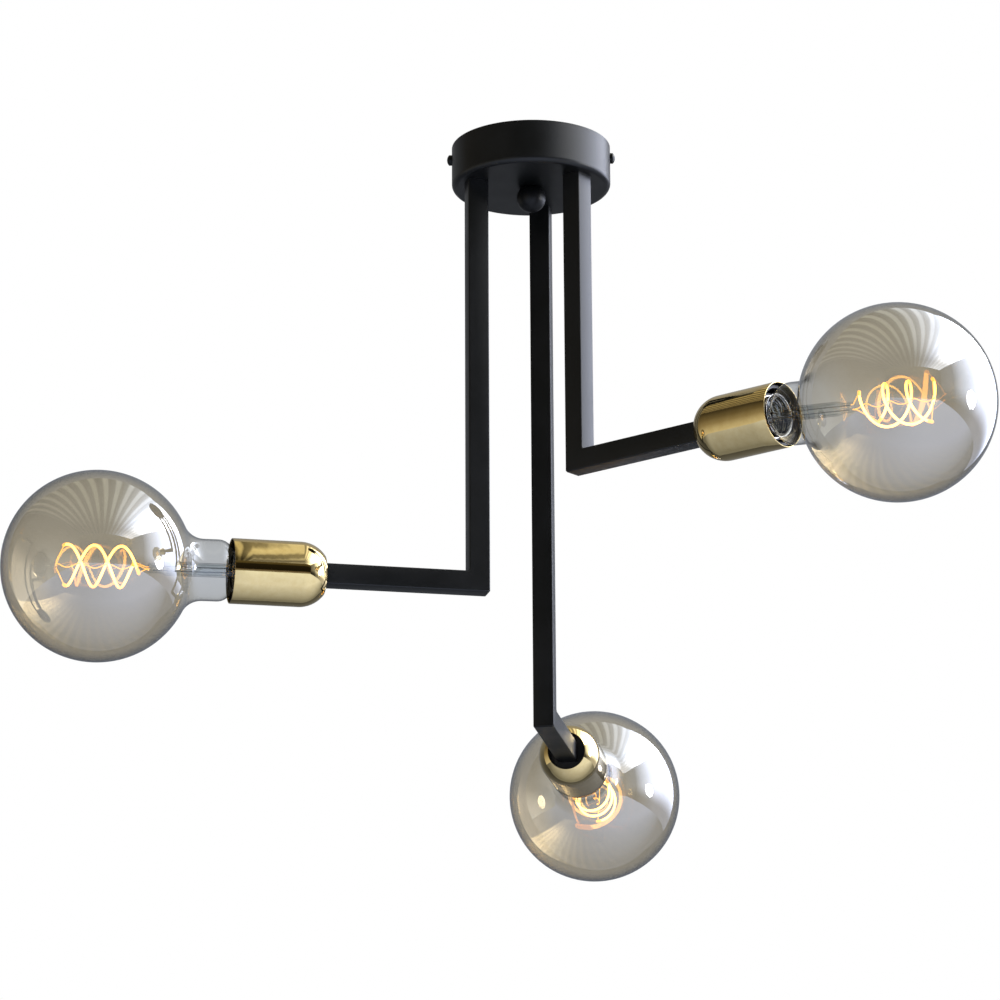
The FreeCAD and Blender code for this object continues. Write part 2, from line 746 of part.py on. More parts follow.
def make_mount():
    """Inner glass mount: a flare in the neck's tail, a tube and a pinched end."""
    def at(radius, s):
        return (radius, globe_reach - s)

    flare_s = cap_edge + neck_tail_length
    tube_s = flare_s - 12.0
    pinch_s = mount_end + mount_pinch_length
    wall = mount_tube_wall
    flare_mid = (mount_tube_radius + 1.4, flare_s - 4.5)
    return turned(profile(
        [at(mount_flare_radius, flare_s), at(*flare_mid), at(mount_tube_radius, tube_s)],
        [at(mount_tube_radius, tube_s), at(mount_tube_radius, pinch_s)],
        [at(mount_tube_radius, pinch_s), at(mount_pinch_radius, pinch_s - 4.0)],
        [at(mount_pinch_radius, pinch_s - 4.0), at(mount_pinch_radius, mount_end + 1.0)],
        [at(mount_pinch_radius, mount_end + 1.0), at(mount_pinch_radius - 1.0, mount_end)],
        [at(mount_pinch_radius - 1.0, mount_end), at(0, mount_end)],
        [at(0, mount_end), at(0, pinch_s)],
        [at(0, pinch_s), at(mount_tube_radius - wall, pinch_s + 1.0)],
        [at(mount_tube_radius - wall, pinch_s + 1.0), at(mount_tube_radius - wall, tube_s)],
        [at(mount_tube_radius - wall, tube_s), at(flare_mid[0] - wall, flare_mid[1]),
         at(mount_flare_radius - wall, flare_s)],
        [at(mount_flare_radius - wall, flare_s), at(mount_flare_radius, flare_s)]))


def biarc(start, start_tangent, end, end_tangent):
    """Two tangent arcs from start to end with the given unit tangents."""
    span = end - start
    both = start_tangent + end_tangent
    a = 2 * (start_tangent.dot(end_tangent) - 1)
    b = -2 * span.dot(both)
    c = span.dot(span)
    if abs(a) < 1e-9:
        d = -c / b
    else:
        d = (-b - math.sqrt(b * b - 4 * a * c)) / (2 * a)
    joint = (start + end + (start_tangent - end_tangent) * d) * 0.5
    edges = []
    for base, tangent, far in ((start, start_tangent, joint), (end, end_tangent * -1, joint)):
        chord = far - base
        along = Vector(chord).normalize()
        bulge = tangent - along * tangent.dot(along)
        half = tangent.getAngle(along) / 2
        middle = (base + far) * 0.5 + bulge.normalize() * (chord.Length / 2 * math.tan(half))
        edges.append(arc_through(base, middle, far))
    return edges


def helix_path(radius, pitch, z_from, z_to, phase, steps_per_turn):
    """Helix about Z on biarcs, running from one height to the other."""
    turns = abs(z_to - z_from) / pitch
    count = max(2, math.ceil(turns * steps_per_turn))
    slope = (z_to - z_from) / (turns * 2 * math.pi)
    points = []
    for i in range(count + 1):
        angle = turns * 2 * math.pi * i / count
        turn = angle + math.radians(phase)
        point = Vector(radius * math.cos(turn), radius * math.sin(turn), z_from + slope * angle)
        tangent = Vector(-radius * math.sin(turn), radius * math.cos(turn), slope).normalize()
        points.append((point, tangent))
    edges = []
    for (p, t), (q, u) in zip(points, points[1:]):
        edges.extend(biarc(p, t, q, u))
    return Part.Wire(edges), points


def filament_phase(strand):
    """Angle of a strand's near end about the bulb's axis, from straight down."""
    return 60.0 + 180.0 * strand


def strand_path(strand):
    return helix_path(filament_diameter / 2, filament_pitch, filament_near, filament_far,
                      filament_phase(strand), 4)


def filament_gap():
    """Least gap between the two strands, measured on points along their middle lines."""
    near, far = [strand_path(strand)[0].discretize(Number=400) for strand in (0, 1)]
    return min((p - q).Length for p in near for q in far) - strand_diameter


def make_filament():
    print("least gap between the filament's strands", round(filament_gap(), 2))
    return [tube_along(strand_path(strand)[0], strand_diameter) for strand in (0, 1)]


def rod_between(start, end, diameter):
    run = end - start
    return Part.makeCylinder(diameter / 2, run.Length, start, run)


def make_leads():
    """Wires from the mount to the strands, and a waved wire through the middle to their far ends."""
    mount_z = globe_reach - mount_end
    wires = []
    centre_start = mount_z + lead_diameter / 2
    centre_end = filament_far + 3.0
    path, _ = helix_path(lead_wave_radius, lead_wave_pitch, centre_start, centre_end, 0.0, 4)
    wires.append(tube_along(path, lead_diameter))
    for strand in (0, 1):
        _, points = strand_path(strand)
        near, near_tangent = points[0]
        far, far_tangent = points[-1]
        near_end = near - near_tangent * lead_joint
        far_end = far + far_tangent * lead_joint
        spoke = Vector(near.x, near.y, 0).normalize() * (mount_pinch_radius - 0.8)
        foot = Vector(spoke.x, spoke.y, mount_z + 0.1)
        wires.append(rod_between(foot, near_end, lead_diameter))
        hub = Vector(far.x, far.y, 0).normalize() * (lead_wave_radius + 1.0)
        wires.append(rod_between(far_end, Vector(hub.x, hub.y, centre_end), lead_diameter))
    return wires


# ---- build ----

def build_fixture():
    save("ceiling_bracket", make_bracket())
    save("canopy", make_canopy())
    save("centre_rod", make_rod())
    rod_nut = hexagon(rod_diameter + rod_nut_land, rod_nut_height, rod_diameter / 2 + thread_clearance,
                      -bracket_thickness - rod_nut_height)
    save("centre_rod_nut", rod_nut)
    save("ball_knob", make_ball())
    head_seat = canopy_radius + seat_clearance
    for name, side in (("left", -1), ("right", 1)):
        facing = Placement(Vector(side * head_seat, 0, -side_screw_drop),
                           Rotation(Vector(0, 1, 0), side * 90))
        save("canopy_screw_" + name, placed(make_side_screw(), facing))
    earth = make_pan_screw(earth_radius, bracket_thickness, earth_radius * 1.8, 2.4, 1.0)
    save("earth_screw", placed(earth, Placement(Vector(earth_x, 0, -bracket_thickness), Rotation())))
    save("terminal_block", make_terminal_block())
    save("terminal_screws", make_terminal_screws())


def build_arms():
    top_plug = placed(make_plug(), Placement(Vector(0, 0, -canopy_height), Rotation()))
    save("stem_top_plugs", each_arm(top_plug, stem_frame))
    nipple = make_nipple(-canopy_height - nipple_depth_in_plug, nipple_top)
    save("canopy_nipples", each_arm(nipple, stem_frame))
    hole = nipple_radius + thread_clearance
    save("canopy_washers", each_arm(washer(nipple_radius + canopy_washer_land, hole, canopy_washer_thickness,
                                           canopy_floor), stem_frame))
    nut = hexagon(nipple_diameter + canopy_nut_land, canopy_nut_height, hole, washer_top)
    save("canopy_nuts", each_arm(nut, stem_frame))
    end_plug = placed(make_plug(), Placement(Vector(0, 0, holder_back), Rotation()))
    save("arm_end_plugs", each_arm(end_plug, socket_frame))
    holder_nipple = make_nipple(holder_back - nipple_depth_in_plug, chamber_start + nipple_stand)
    save("holder_nipples", each_arm(holder_nipple, socket_frame))
    save("contact_bases", each_arm(make_contact_base(), socket_frame))
    save("centre_contacts", each_arm(make_centre_contact(), socket_frame))
    screws = []
    for arm in arms:
        screws += [placed(screw, socket_frame(arm)) for screw in make_holder_screws()]
    save("holder_terminal_screws", screws)
    cup = make_cup()
    holder = make_holder()
    shell = make_screw_shell()
    for arm in arms:
        name = arm["name"]
        save(name + "_stem", make_stem(arm))
        save(name + "_arm", make_arm(arm))
        save(name + "_cable", make_cable(arm))
        save(name + "_cup", placed(cup, socket_frame(arm)))
        save(name + "_holder", placed(holder, socket_frame(arm)))
        save(name + "_screw_shell", placed(shell, socket_frame(arm)))


def build_bulbs():
    in_socket = {"cap": make_cap(), "insulator": make_insulator(), "tip": make_tip()}
    in_glass = {"glass": make_glass(), "mount": make_mount(), "filament": make_filament(),
                "leads": make_leads()}
    for arm in arms:
        for frame, pieces in ((socket_frame, in_socket), (glass_frame, in_glass)):
            for piece, shape in pieces.items():
                group = shape if isinstance(shape, list) else [shape]
                save(arm["name"] + "_bulb_" + piece, [placed(solid, frame(arm)) for solid in group])


os.makedirs("parts", exist_ok=True)
build_fixture()
build_arms()
build_bulbs()
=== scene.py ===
import json
import math

import bmesh
import bpy
from mathutils import Matrix, Vector


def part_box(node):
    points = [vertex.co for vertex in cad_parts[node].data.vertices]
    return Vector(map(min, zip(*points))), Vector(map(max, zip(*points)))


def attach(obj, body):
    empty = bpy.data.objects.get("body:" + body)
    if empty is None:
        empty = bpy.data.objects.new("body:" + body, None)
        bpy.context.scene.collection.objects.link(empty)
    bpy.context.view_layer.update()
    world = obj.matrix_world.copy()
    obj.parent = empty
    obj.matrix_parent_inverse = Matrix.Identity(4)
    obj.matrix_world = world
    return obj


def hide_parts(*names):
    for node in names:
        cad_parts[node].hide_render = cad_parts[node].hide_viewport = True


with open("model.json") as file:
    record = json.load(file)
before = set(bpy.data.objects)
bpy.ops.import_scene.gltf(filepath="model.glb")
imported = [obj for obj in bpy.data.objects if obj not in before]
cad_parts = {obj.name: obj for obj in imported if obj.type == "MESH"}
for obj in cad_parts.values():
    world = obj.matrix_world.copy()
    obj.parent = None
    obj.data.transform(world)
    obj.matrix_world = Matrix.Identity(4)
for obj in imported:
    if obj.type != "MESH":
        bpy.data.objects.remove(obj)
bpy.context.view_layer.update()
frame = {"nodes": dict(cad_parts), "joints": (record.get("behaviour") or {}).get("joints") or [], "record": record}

nodes = frame["nodes"]
mm = 0.001
armNames = ("left", "right", "back")
print("frame loaded,", len(nodes), "nodes")


def addObject(name, data):
    thing = bpy.data.objects.new(name, data)
    bpy.context.scene.collection.objects.link(thing)
    return thing


camera = {
    "place": (0.02643, -2.37520, -0.93180),  # well below the lamp, looking up at it
    "yaw": 1.182,
    "pitch": 15.982,
    "roll": -0.307,
    "lens": 132.56,
    "sensor": 36.0,
    "clipStart": 0.05,
    "clipEnd": 60.0,
}


def makeCamera():
    data = bpy.data.cameras.new("photoCamera")
    data.lens = camera["lens"]
    data.sensor_width = camera["sensor"]
    data.clip_start = camera["clipStart"]
    data.clip_end = camera["clipEnd"]
    eye = addObject("photoCamera", data)
    yaw, pitch, roll = (math.radians(camera[key]) for key in ("yaw", "pitch", "roll"))
    forward = Vector((-math.sin(yaw) * math.cos(pitch), math.cos(yaw) * math.cos(pitch), math.sin(pitch)))
    level = Vector((math.cos(yaw), math.sin(yaw), 0.0))
    upright = level.cross(forward)
    right = math.cos(roll) * level + math.sin(roll) * upright
    up = math.cos(roll) * upright - math.sin(roll) * level
    turn = Matrix((right, up, -forward)).transposed().to_4x4()
    eye.matrix_world = Matrix.Translation(camera["place"]) @ turn
    bpy.context.scene.camera = eye


makeCamera()
print("camera set")


def hexColour(text):
    # sRGB hex to the linear colour that the shaders take
    channels = [int(text[i:i + 2], 16) / 255 for i in (1, 3, 5)]
    linear = [c / 12.92 if c <= 0.04045 else ((c + 0.055) / 1.055) ** 2.4 for c in channels]
    return (*linear, 1.0)


def addNode(tree, kind, inputs=None, **settings):
    node = tree.nodes.new(kind)
    for name, value in settings.items():
        setattr(node, name, value)
    for socket, value in (inputs or {}).items():
        if isinstance(value, bpy.types.NodeSocket):
            tree.links.new(value, node.inputs[socket])
        else:
            node.inputs[socket].default_value = value
    return node


def newMaterial(name):
    material = bpy.data.materials.new(name)
    material.use_nodes = True
    material.node_tree.nodes.clear()
    return material, material.node_tree


def finishMaterial(tree, shader):
    addNode(tree, "ShaderNodeOutputMaterial", {"Surface": shader})


def addNoise(tree, width, detail=2.0, roughness=0.5):
    # clouds fixed to the piece, about width millimetres across
    place = addNode(tree, "ShaderNodeTexCoord")
    noise = addNode(tree, "ShaderNodeTexNoise", {"Vector": place.outputs["Object"], "Scale": 1 / (width * mm),
                                                 "Detail": detail, "Roughness": roughness})
    return noise.outputs["Fac"]


def addRange(tree, value, start=0.0, end=1.0, low=0.0, high=1.0, **settings):
    # start becomes low and end becomes high, and nothing goes past either
    span = addNode(tree, "ShaderNodeMapRange", {"Value": value, "From Min": start, "From Max": end,
                                                "To Min": low, "To Max": high}, **settings)
    return span.outputs["Result"]


def addRamp(tree, value, stops):
    # stops holds (place, colour)
    ramp = addNode(tree, "ShaderNodeValToRGB", {"Fac": value})
    elements = ramp.color_ramp.elements
    while len(elements) < len(stops):
        elements.new(0.5)
    for element, (place, colour) in zip(elements, stops):
        element.position = place
        element.color = colour
    return ramp.outputs["Color"]


def mixColours(tree, share, first, second, **settings):
    mixed = addNode(tree, "ShaderNodeMix", {"Factor": share, "A": first, "B": second},
                    data_type="RGBA", **settings)
    return mixed.outputs["Result"]


def addBump(tree, height, strength, depth):
    # depth in millimetres
    bump = addNode(tree, "ShaderNodeBump", {"Height": height, "Strength": strength, "Distance": depth * mm})
    return bump.outputs["Normal"]


def grey(value):
    return (value, value, value, 1.0)


def arcPoints(centre, radius, start, end, steps):
    # points on a circle from one angle to the other, in degrees
    points = []
    for i in range(steps + 1):
        angle = math.radians(start + (end - start) * i / steps)
        points.append((centre[0] + radius * math.cos(angle), centre[1] + radius * math.sin(angle)))
    return points


def newPiece(name, mesh, material, body, replaced, sharpAngle):
    piece = addObject(name, mesh)
    mesh.materials.append(material)
    mesh.shade_smooth()
    mesh.set_sharp_from_angle(angle=math.radians(sharpAngle))
    if replaced:
        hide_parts(*replaced)
    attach(piece, body)


def joinRings(shape, low, high):
    # a band of faces from ring to ring, or a fan where one of them is a single point
    count = max(len(low), len(high))
    for k in range(count):
        after = (k + 1) % count
        corners = [low[k % len(low)], low[after % len(low)], high[after % len(high)], high[k % len(high)]]
        shape.faces.new(list(dict.fromkeys(corners)))


def meshFrom(name, shape):
    mesh = bpy.data.meshes.new(name)
    shape.to_mesh(mesh)
    shape.free()
    return mesh


def latheMesh(name, outline, place, segments, closed=True, bump=None):
    # outline holds (radius, height) in millimetres and is turned about local Z;
    # bump, if given, moves a point out by bump(angle, height) millimetres
    shape = bmesh.new()
    rings = []
    for radius, height in outline:
        if radius == 0.0:
            rings.append([shape.verts.new(place @ Vector((0, 0, height * mm)))])
            continue
        ring = []
        for k in range(segments):
            angle = 2 * math.pi * k / segments
            reach = radius + (bump(angle, height) if bump else 0.0)
            spot = Vector((reach * math.cos(angle), reach * math.sin(angle), height)) * mm
            ring.append(shape.verts.new(place @ spot))
        rings.append(ring)
    pairs = list(zip(rings, rings[1:]))
    if closed:
        pairs.append((rings[-1], rings[0]))
    for low, high in pairs:
        joinRings(shape, low, high)
    bmesh.ops.recalc_face_normals(shape, faces=shape.faces)
    return meshFrom(name, shape)


def addWire(shape, points, radius, sides):
    # round wire along points in metres, with domed ends
    domeRings = (0.5, 0.85)   # how far out along the dome each of its rings lies, as shares of the radius
    path = [Vector(p) for p in points]
    normal = None
    rings = []
    last = len(path) - 1
    turns = [2 * math.pi * k / sides for k in range(sides)]
    for i, point in enumerate(path):
        tangent = (path[min(i + 1, last)] - path[max(i - 1, 0)]).normalized()
        if normal is None:
            helper = Vector((0, 0, 1)) if abs(tangent.z) < 0.9 else Vector((1, 0, 0))
            normal = tangent.cross(helper).normalized()
        normal = (normal - tangent * normal.dot(tangent)).normalized()
        across = tangent.cross(normal)
        rings.append([shape.verts.new(point + (normal * math.cos(t) + across * math.sin(t)) * radius)
                      for t in turns])
    for low, high in zip(rings, rings[1:]):
        joinRings(shape, low, high)
    for rim, end, inner in ((rings[0], path[0], path[1]), (rings[-1], path[-1], path[-2])):
        outwards = (end - inner).normalized()
        spokes = [(v.co - end).normalized() for v in rim]
        for share in domeRings:
            narrowing = math.sqrt(1 - share * share)
            smaller = [shape.verts.new(end + (spoke * narrowing + outwards * share) * radius)
                       for spoke in spokes]
            joinRings(shape, rim, smaller)
            rim = smaller
        shape.faces.new(rim)


def wireMesh(name, wires):
    # wires holds (points, radius, sides), each wire a shell of its own
    shape = bmesh.new()
    for points, radius, sides in wires:
        addWire(shape, points, radius, sides)
    bmesh.ops.recalc_face_normals(shape, faces=shape.faces)
    return meshFrom(name, shape)


def alongAxis(node, start, axis):
    # nearest and farthest reach of a node's points along an axis, in millimetres
    reaches = [(v.co - start).dot(axis) / mm for v in nodes[node].data.vertices]
    return min(reaches), max(reaches)


def axesFrame(origin, outwards):
    # local Z runs outwards and local X points down as far as it can
    down = Vector((0, 0, -1))
    x = (down - outwards * down.dot(outwards)).normalized()
    y = outwards.cross(x)
    turn = Matrix((x, y, outwards)).transposed().to_4x4()
    return Matrix.Translation(origin) @ turn


def readArm(name):
    joint = next(item for item in frame["joints"] if item["name"] == name + "_bulb_turn")
    origin = Vector(joint["pos_m"])          # where the stem's and the arm's middle lines meet
    axis = Vector(joint["axis"]).normalized()
    arm = {"name": name, "origin": origin, "axis": axis, "socket": axesFrame(origin, axis)}
    arm["cupBack"], arm["cupRim"] = alongAxis(name + "_cup", origin, axis)
    arm["holderBack"] = alongAxis(name + "_holder", origin, axis)[0]
    arm["capBottom"], arm["capTop"] = alongAxis(name + "_bulb_cap", origin, axis)
    arm["coresEnd"] = alongAxis(name + "_cable", origin, axis)[1]
    # the globe's middle, from the glass's box: its far corner less a radius on each side
    low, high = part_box(name + "_bulb_glass")
    radius = (high.z - low.z) / 2
    middle = Vector((low.x + radius if axis.x < 0 else high.x - radius,
                     low.y + radius if axis.y < 0 else high.y - radius,
                     (low.z + high.z) / 2))
    pivot = origin + axis * arm["capTop"] * mm
    tilt = (middle - pivot).normalized()
    reach = (middle - pivot).length / mm + arm["capTop"]
    arm["globeRadius"] = radius / mm
    arm["globeReach"] = reach
    arm["glass"] = axesFrame(middle - tilt * reach * mm, tilt)
    return arm


arms = [readArm(name) for name in armNames]
for arm in arms:
    print(arm["name"], {key: round(value, 2) for key, value in arm.items() if isinstance(value, float)})


# polyester powder coat, sprayed and baked: a soft satin with a faint orange peel, never quite black
def makePowderCoat():
    material, tree = newMaterial("satinPowderCoat")
    # a real peel is under 1 mm; this is as coarse as it needs to show
    peel = addNoise(tree, width=2.4, detail=3.0, roughness=0.55)
    dusting = addNoise(tree, width=28.0, detail=4.0)
    tone = addRamp(tree, dusting, [(0.3, hexColour("#07090B")), (0.7, hexColour("#0A0C0F"))])
    gloss = addRange(tree, dusting, start=0.3, end=0.7, low=0.33, high=0.41)
    bump = addBump(tree, peel, strength=0.06, depth=0.2)
    shader = addNode(tree, "ShaderNodeBsdfPrincipled", {"Base Color": tone, "Roughness": gloss,
                                                        "Normal": bump, "IOR": 1.42})
    finishMaterial(tree, shader.outputs["BSDF"])
    return material


# black stove lacquer on the ball nut and the small screws: a satin close to the coat's, without its peel
def makeLacquer():
    material, tree = newMaterial("blackStoveLacquer")
    runs = addNoise(tree, width=3.0)
    gloss = addRange(tree, runs, low=0.34, high=0.46)
    tone = addRamp(tree, runs, [(0.35, hexColour("#060709")), (0.7, hexColour("#0A0B0D"))])
    shader = addNode(tree, "ShaderNodeBsdfPrincipled", {"Base Color": tone, "Roughness": gloss, "IOR": 1.32})
    finishMaterial(tree, shader.outputs["BSDF"])
    return material


# spun brass, buffed to a mirror outside: clean reflections that waver where the spinning tool left the
# wall uneven; inside it is painted dark and dull, a painted shade that the mouth shows as a black ring
def makeBrass():
    material, tree = newMaterial("mirrorPolishedBrass")
    waver = addNoise(tree, width=14.0)
    scuff = addNoise(tree, width=4.0, detail=6.0)
    gloss = addRange(tree, scuff, start=0.35, end=0.75, low=0.035, high=0.085)
    tone = addRamp(tree, scuff, [(0.3, hexColour("#E7CF95")), (0.8, hexColour("#DDC387"))])
    paintedShade = addNode(tree, "ShaderNodeAttribute", attribute_name="paintedShade").outputs["Fac"]
    # painted shade: the marked inner face is darkened to a dull brown
    colour = mixColours(tree, paintedShade, tone, hexColour("#2A2118"))
    polish = addRange(tree, paintedShade, low=gloss, high=0.5)
    bump = addBump(tree, waver, strength=0.25, depth=0.35)
    shader = addNode(tree, "ShaderNodeBsdfPrincipled", {"Base Color": colour, "Metallic": 1.0,
                                                        "Roughness": polish, "Normal": bump})
    finishMaterial(tree, shader.outputs["BSDF"])
    return material


# plated and bare metals: a rolled or drawn sheen with fine grain
def makeMetal(name, light, dark, roughLow, roughHigh, grain):
    material, tree = newMaterial(name)
    cloud = addNoise(tree, width=grain, detail=5.0)
    tone = addRamp(tree, cloud, [(0.35, hexColour(light)), (0.7, hexColour(dark))])
    gloss = addRange(tree, cloud, start=0.35, end=0.7, low=roughLow, high=roughHigh)
    shader = addNode(tree, "ShaderNodeBsdfPrincipled", {"Base Color": tone, "Metallic": 1.0,
                                                        "Roughness": gloss})
    finishMaterial(tree, shader.outputs["BSDF"])
    return material


# moulded and cast insulators: an even dull sheen with slight mottling
def makeMoulded(name, light, dark, rough, grain):
    material, tree = newMaterial(name)
    mottle = addNoise(tree, width=grain, detail=4.0)
    tone = addRamp(tree, mottle, [(0.3, hexColour(light)), (0.75, hexColour(dark))])
    gloss = addRange(tree, mottle, low=rough - 0.06, high=rough + 0.06)
    bump = addBump(tree, mottle, strength=0.05, depth=0.2)
    shader = addNode(tree, "ShaderNodeBsdfPrincipled", {"Base Color": tone, "Roughness": gloss,
                                                        "Normal": bump, "IOR": 1.5})
    finishMaterial(tree, shader.outputs["BSDF"])
    return material


def finishGlass(tree, tint, sheen, roughness, share):
    # share of the light is turned back in the sheen's colour, and the rest goes through tinted
    clear = addNode(tree, "ShaderNodeBsdfTransparent", {"Color": tint})
    mirror = addNode(tree, "ShaderNodeBsdfGlossy", {"Color": sheen, "Roughness": roughness})
    shader = addNode(tree, "ShaderNodeMixShader", {0: share, 1: clear.outputs["BSDF"],
                                                   2: mirror.outputs["BSDF"]})
    finishMaterial(tree, shader.outputs["Shader"])


# blown soda-lime glass with a smoke and champagne half mirror fumed inside the globe:
# it mirrors the room on both walls, golden from within, and clears towards the neck
def makeMirroredGlass():
    material, tree = newMaterial("smokeMirroredGlass")
    coating = addNode(tree, "ShaderNodeAttribute", attribute_name="coating").outputs["Fac"]
    within = addNode(tree, "ShaderNodeNewGeometry").outputs["Backfacing"]
    facing = addNode(tree, "ShaderNodeLayerWeight", {"Blend": 0.5}).outputs["Facing"]
    # bare glass darkens only at its very edge, where the line of sight runs along the wall
    edge = addRange(tree, facing, start=0.55, end=0.98, interpolation_type="SMOOTHSTEP")
    bare = mixColours(tree, edge, hexColour("#D6D8DA"), hexColour("#84878A"))
    smoke = mixColours(tree, edge, hexColour("#CDC9BF"), hexColour("#989A9B"))
    tint = mixColours(tree, coating, bare, smoke)
    sheen = mixColours(tree, within, hexColour("#F6F9FF"), hexColour("#F8E7C6"))
    # share of light turned back: a fifth of it head on, nearly all of it at the rim
    grazing = addNode(tree, "ShaderNodeMath", {0: facing, 1: 4.5}, operation="POWER")
    headOn = addRange(tree, coating, low=0.04, high=0.2)
    share = addRange(tree, grazing.outputs["Value"], low=headOn, high=0.95)
    finishGlass(tree, tint, sheen, 0.012, share)
    return material


# clear lead glass of the inner mount
def makeClearGlass():
    material, tree = newMaterial("clearLeadGlass")
    facing = addNode(tree, "ShaderNodeLayerWeight", {"Blend": 0.5}).outputs["Facing"]
    grazing = addNode(tree, "ShaderNodeMath", {0: facing, 1: 4.0}, operation="POWER").outputs["Value"]
    share = addRange(tree, grazing, low=0.05, high=0.6)
    tint = mixColours(tree, grazing, hexColour("#F4F6F7"), hexColour("#B4B8BC"))
    finishGlass(tree, tint, hexColour("#FFFFFF"), 0.02, share)
    return material


# silicone and phosphor over a lit strip: pale yellow down the middle, orange at its edges
def makeFilamentGlow():
    material, tree = newMaterial("litPhosphorStrand")
    facing = addNode(tree, "ShaderNodeLayerWeight", {"Blend": 0.5}).outputs["Facing"]
    tone = addRamp(tree, facing, [(0.0, hexColour("#FFCC70")), (0.6, hexColour("#FFC260")),
                                  (1.0, hexColour("#FF9226"))])
    shader = addNode(tree, "ShaderNodeEmission", {"Color": tone, "Strength": 9.0})
    finishMaterial(tree, shader.outputs["Emission"])
    return material


# thin nickel wire, given an orange glow of its own: painted glow for the light of the strands beside it
def makeLeadWire():
    material, tree = newMaterial("nickelLeadWirePaintedGlow")
    shader = addNode(tree, "ShaderNodeBsdfPrincipled", {
        "Base Color": hexColour("#C98A4B"), "Metallic": 1.0, "Roughness": 0.3,
        "Emission Color": hexColour("#FFB055"), "Emission Strength": 3.5})
    finishMaterial(tree, shader.outputs["BSDF"])
    return material


materials = {
    "black_powder_coat": makePowderCoat(),
    "black_lacquered_steel": makeLacquer(),
    "zinc_plated_steel": makeMetal("zincPlatedSteel", "#A4A6AB", "#85888D", 0.42, 0.6, 6.0),
    "polished_brass": makeBrass(),
    "black_thermoplastic": makeMoulded("blackPhenolicMoulding", "#141414", "#1B1B1B", 0.42, 3.0),
    "nickel_plated_brass": makeMetal("nickelPlatedBrass", "#D8D3C8", "#BDB7AA", 0.14, 0.26, 5.0),
    "spring_brass": makeMetal("springBrassStrip", "#C8A95C", "#A98B45", 0.2, 0.35, 4.0),
    "solder_tin": makeMetal("tinSolder", "#C4C6C8", "#9EA1A4", 0.25, 0.45, 2.0),
    "steatite_ceramic": makeMoulded("glazedSteatite", "#EDEBE4", "#DFDCD2", 0.35, 4.0),
    "white_polyamide": makeMoulded("whitePolyamide", "#ECEBE6", "#E2E0D9", 0.45, 5.0),
    "black_cable_sheath": makeMoulded("blackCableSheath", "#17181A", "#101113", 0.5, 2.0),
    "black_vitrite": makeMoulded("blackVitriteGlass", "#0E0E10", "#16151A", 0.15, 3.0),
    "smoke_mirrored_glass": makeMirroredGlass(),
    "clear_glass": makeClearGlass(),
    "glowing_filament": makeFilamentGlow(),
    "lead_wire": makeLeadWire(),
}
for part in frame["record"]["subparts"]:
    surface = nodes[part["node"]].data
    surface.materials.clear()
    surface.materials.append(materials[part["material_slot"]])
print("materials made")


tube = {
    "width": 14.0, "wall": 1.2, "cornerRadius": 0.9, "innerRadius": 0.3, "cornerSteps": 4,
    "mitreRadius": 0.7, "mitreSteps": 3,
    "creaseAngle": 40.0,    # an edge that folds by more than this is part of the mitre
}


def squareSection(half, radius, steps):
    points = []
    for k, (sx, sy) in enumerate(((1, 1), (-1, 1), (-1, -1), (1, -1))):
        centre = (sx * (half - radius), sy * (half - radius))
        points += arcPoints(centre, radius, 90 * k, 90 * (k + 1), steps)
    return points


def makeTube(arm):
    name = arm["name"]
    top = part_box(name + "_stem")[1].z / mm
    end = arm["holderBack"]
    half = tube["width"] / 2
    outer = squareSection(half, tube["cornerRadius"], tube["cornerSteps"])
    inner = squareSection(half - tube["wall"], tube["innerRadius"], tube["cornerSteps"])
    level = arm["origin"].z / mm
    along = arm["axis"]
    side = Vector((0, 0, 1)).cross(along)
    start = Vector((arm["origin"].x, arm["origin"].y, 0)) / mm

    def spot(x, y, z):
        return (start + along * x + side * y + Vector((0, 0, z))) * mm

    shape = bmesh.new()
    walls = []
    for section in (outer, inner):
        walls.append([
            [shape.verts.new(spot(u, v, top)) for u, v in section],
            [shape.verts.new(spot(u, v, level + u)) for u, v in section],
            [shape.verts.new(spot(end, v, level + u)) for u, v in section]])
    for rings in walls:
        for low, high in zip(rings, rings[1:]):
            joinRings(shape, low, high)
    for mouth in (0, 2):
        joinRings(shape, walls[0][mouth], walls[1][mouth])
    bmesh.ops.recalc_face_normals(shape, faces=shape.faces)
    # soften the mitre's outer and inner creases
    fold = math.radians(tube["creaseAngle"])
    creases = [edge for edge in shape.edges
               if all(v in walls[0][1] for v in edge.verts) and edge.calc_face_angle() > fold]
    bmesh.ops.bevel(shape, geom=creases, offset=tube["mitreRadius"] * mm, segments=tube["mitreSteps"],
                    affect="EDGES", clamp_overlap=True)
    newPiece(name + "Tube", meshFrom(name + "Tube", shape), materials["black_powder_coat"], "fixture",
             (name + "_stem", name + "_arm"), sharpAngle=30.0)


for arm in arms:
    makeTube(arm)
print("tubes made")


cup = {
    "radius": 21.5, "wall": 0.7, "domeRadius": 20.4, "holeRadius": 13.2,
    "lip": 0.5,               # how far the hole's edge is rolled inwards
    "polishedEdge": 1.2,      # the inside keeps its bright brass only this far from the rim; deeper in is painted shade
    "domeSteps": 28, "innerSteps": 20, "rimSteps": 8, "lipSteps": 6, "segments": 160,
}


